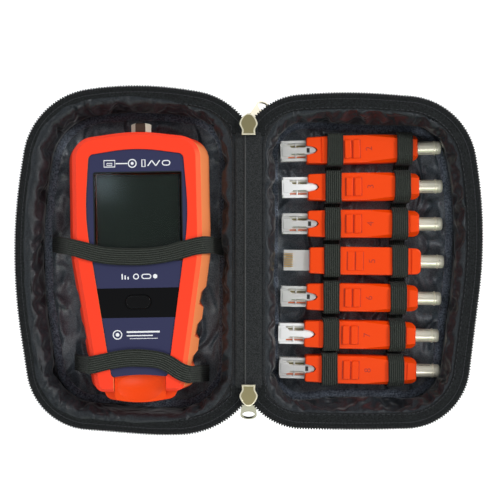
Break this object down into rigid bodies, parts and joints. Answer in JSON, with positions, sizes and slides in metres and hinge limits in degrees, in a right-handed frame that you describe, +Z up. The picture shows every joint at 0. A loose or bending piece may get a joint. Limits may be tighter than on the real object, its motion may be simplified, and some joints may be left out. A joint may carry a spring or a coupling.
{
  "type": "cable test kit in zip case",
  "caption": "Fold-open zip case with an orange hand-held cable tester under elastic straps and a row of small network and coax remotes in elastic loops.",
  "frame": {"origin": "middle of the open case on the surface it lies on, under the fold line", "axes": "+X across from the tester's half to the remotes' half, +Y along the fold line towards the tester's coax jack, +Z up out of the open case"},
  "size_m": [0.2581, 0.1925, 0.0414],
  "materials": {
    "case_cloth": "woven ballistic nylon over moulded foam",
    "lining_satin": "wrinkled satin",
    "binding_cloth": "grosgrain",
    "zip_tape": "fine twill tape",
    "zip_coil": "black nylon coil",
    "spine_cloth": "plain weave",
    "elastic": "ribbed elastic webbing",
    "slider_brass": "aged brass plate",
    "pull_metal": "polished",
    "boot_rubber": "moulded elastomer",
    "housing_plastic": "fine texture",
    "face_film": "printed polycarbonate film",
    "strip_film": "matt black film",
    "button_rubber": "silicone",
    "window_glass": "clear",
    "lcd": "grey green",
    "board": "solder mask",
    "battery_can": "satin",
    "jack_black": "moulded nylon",
    "nickel": "nickel plate",
    "screw_steel": "zinc",
    "remote_plastic": "fine texture",
    "plug_clear": "clear polycarbonate"
  },
  "bodies": {
    "left_case": {"left_shell": "case_cloth", "left_wall_lining": "lining_satin", "left_base_panel": "lining_satin", "left_binding": "binding_cloth", "left_zip_tape": "zip_tape", "left_zip_coil": "zip_coil", "left_spine_fabric": "spine_cloth", "tester_strap_upper": "elastic", "tester_strap_lower": "elastic"},
    "right_case": {"right_shell": "case_cloth", "right_wall_lining": "lining_satin", "right_base_panel": "lining_satin", "right_binding": "binding_cloth", "right_zip_tape": "zip_tape", "right_zip_coil": "zip_coil", "right_spine_fabric": "spine_cloth", "remote_loops_inner": "elastic", "remote_loops_outer": "elastic"},
    "zip_slider_top": {"zip_slider_top": "slider_brass"},
    "zip_pull_top": {"zip_pull_top": "pull_metal"},
    "zip_slider_bottom": {"zip_slider_bottom": "slider_brass"},
    "zip_pull_bottom": {"zip_pull_bottom": "pull_metal"},
    "tester": {"tester_rubber_boot": "boot_rubber", "tester_rear_housing": "housing_plastic", "tester_front_housing": "housing_plastic", "tester_battery_door": "housing_plastic", "tester_housing_screws": "screw_steel", "tester_face_panel": "face_film", "tester_keypad_strip": "strip_film", "tester_display_window": "window_glass", "tester_lcd_module": "lcd", "tester_main_board": "board", "tester_battery": "battery_can", "tester_network_jacks": "jack_black", "tester_coax_jack": "nickel", "tester_coax_nut": "nickel"},
    "power_button": {"tester_power_button": "button_rubber"},
    "docked_remote": {"docked_remote_casing": "remote_plastic", "docked_remote_plug": "plug_clear"},
    "remote_2": {"remote_2_casing": "remote_plastic", "remote_2_network_plug": "plug_clear", "remote_2_coax_barrel": "nickel"},
    "remote_3": {"remote_3_casing": "remote_plastic", "remote_3_network_plug": "plug_clear", "remote_3_coax_barrel": "nickel"},
    "remote_4": {"remote_4_casing": "remote_plastic", "remote_4_network_plug": "plug_clear", "remote_4_coax_barrel": "nickel"},
    "remote_5": {"remote_5_casing": "remote_plastic", "remote_5_network_plug": "plug_clear", "remote_5_coax_barrel": "nickel"},
    "remote_6": {"remote_6_casing": "remote_plastic", "remote_6_network_plug": "plug_clear", "remote_6_coax_barrel": "nickel"},
    "remote_7": {"remote_7_casing": "remote_plastic", "remote_7_network_plug": "plug_clear", "remote_7_coax_barrel": "nickel"},
    "remote_8": {"remote_8_casing": "remote_plastic", "remote_8_network_plug": "plug_clear", "remote_8_coax_barrel": "nickel"}
  },
  "joints": [
    {"name": "case_fold", "type": "hinge", "parent": "left_case", "child": "right_case", "pos_m": [0, 0, 0.033], "axis": [0, 1, 0], "range_deg": [-180, 0]},
    {"name": "zip_slider_top_travel", "type": "hinge", "parent": "left_case", "child": "zip_slider_top", "pos_m": [-0.0101, 0.07307, 0.033], "axis": [0, 0, 1], "range_deg": [0, 45]},
    {"name": "zip_slider_bottom_travel", "type": "hinge", "parent": "left_case", "child": "zip_slider_bottom", "pos_m": [-0.0101, -0.07427, 0.033], "axis": [0, 0, -1], "range_deg": [0, 45]},
    {"name": "zip_pull_top_swing", "type": "hinge", "parent": "zip_slider_top", "child": "zip_pull_top", "pos_m": [0, 0.074, 0.029], "axis": [0.829, -0.5592, 0], "range_deg": [-43, 45]},
    {"name": "zip_pull_bottom_swing", "type": "hinge", "parent": "zip_slider_bottom", "child": "zip_pull_bottom", "pos_m": [0, -0.0737, 0.029], "axis": [-1, 0, 0], "range_deg": [-40, 48]},
    {"name": "tester_lift", "type": "slide", "parent": "left_case", "child": "tester", "axis": [0, 0, 1], "range_m": [0, 0.08], "deforming": ["tester_strap_upper", "tester_strap_lower"]},
    {"name": "power_button_press", "type": "slide", "parent": "tester", "child": "power_button", "axis": [0, 0, -1], "range_m": [0, 0.0006], "stiffness_N_per_m": 300},
    {"name": "docked_remote_release", "type": "slide", "parent": "tester", "child": "docked_remote", "axis": [0.0175, -0.9998, 0], "range_m": [0, 0.0045]},
    {"name": "remote_2_lift", "type": "slide", "parent": "right_case", "child": "remote_2", "axis": [0, 0, 1], "range_m": [0, 0.05], "deforming": ["remote_loops_inner", "remote_loops_outer"]},
    {"name": "remote_3_lift", "type": "slide", "parent": "right_case", "child": "remote_3", "axis": [0, 0, 1], "range_m": [0, 0.05], "deforming": ["remote_loops_inner", "remote_loops_outer"]},
    {"name": "remote_4_lift", "type": "slide", "parent": "right_case", "child": "remote_4", "axis": [0, 0, 1], "range_m": [0, 0.05], "deforming": ["remote_loops_inner", "remote_loops_outer"]},
    {"name": "remote_5_lift", "type": "slide", "parent": "right_case", "child": "remote_5", "axis": [0, 0, 1], "range_m": [0, 0.05], "deforming": ["remote_loops_inner", "remote_loops_outer"]},
    {"name": "remote_6_lift", "type": "slide", "parent": "right_case", "child": "remote_6", "axis": [0, 0, 1], "range_m": [0, 0.05], "deforming": ["remote_loops_inner", "remote_loops_outer"]},
    {"name": "remote_7_lift", "type": "slide", "parent": "right_case", "child": "remote_7", "axis": [0, 0, 1], "range_m": [0, 0.05], "deforming": ["remote_loops_inner", "remote_loops_outer"]},
    {"name": "remote_8_lift", "type": "slide", "parent": "right_case", "child": "remote_8", "axis": [0, 0, 1], "range_m": [0, 0.05], "deforming": ["remote_loops_inner", "remote_loops_outer"]}
  ]
}
